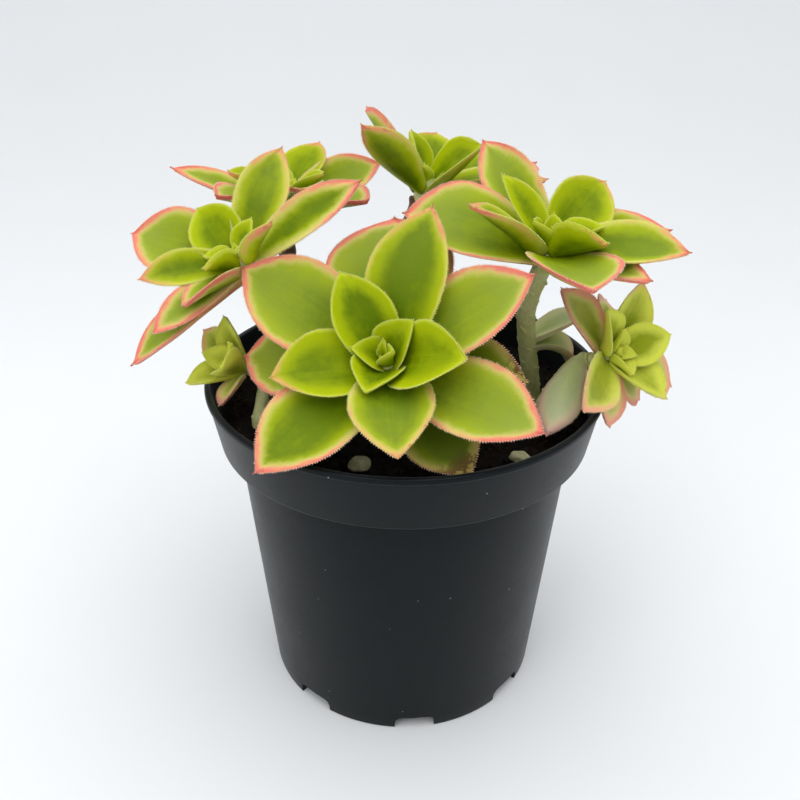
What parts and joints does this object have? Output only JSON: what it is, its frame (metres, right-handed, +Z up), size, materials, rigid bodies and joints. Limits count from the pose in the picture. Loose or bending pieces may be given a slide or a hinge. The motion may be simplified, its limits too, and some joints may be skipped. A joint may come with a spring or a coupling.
{
  "type": "potted aeonium",
  "caption": "Variegated aeonium succulent with pinwheel leaf heads on short woody stems, growing in soil in a tapered plastic nursery pot.",
  "frame": {"origin": "centre of the pot's underside, on the surface it stands on", "axes": "+Z up along the pot's axis, -Y towards the side with the largest leaf head"},
  "size_m": [0.1416, 0.1151, 0.1519],
  "materials": {
    "pot_plastic": "satin moulded plastic",
    "growing_mix": "loose and damp",
    "leaf": "satin, with pale and coral margins",
    "young_leaf": "satin, with pale and pink margins",
    "woody_stem": "bark",
    "green_stem": "matt",
    "grit": "rough stone"
  },
  "bodies": {
    "root": {"pot": "pot_plastic", "soil": "growing_mix", "head_front": "leaf", "head_left": "leaf", "head_right": "leaf", "head_back": "leaf", "head_back_left": "leaf", "offset_right": "young_leaf", "offset_left": "young_leaf", "stem_head_front": "woody_stem", "stem_head_left": "woody_stem", "stem_head_right": "green_stem", "stem_head_back": "woody_stem", "stem_head_back_left": "woody_stem", "stem_offset_right": "green_stem", "stem_offset_left": "green_stem", "grit_1": "grit", "grit_2": "grit", "grit_3": "grit"}
  },
  "joints": []
}
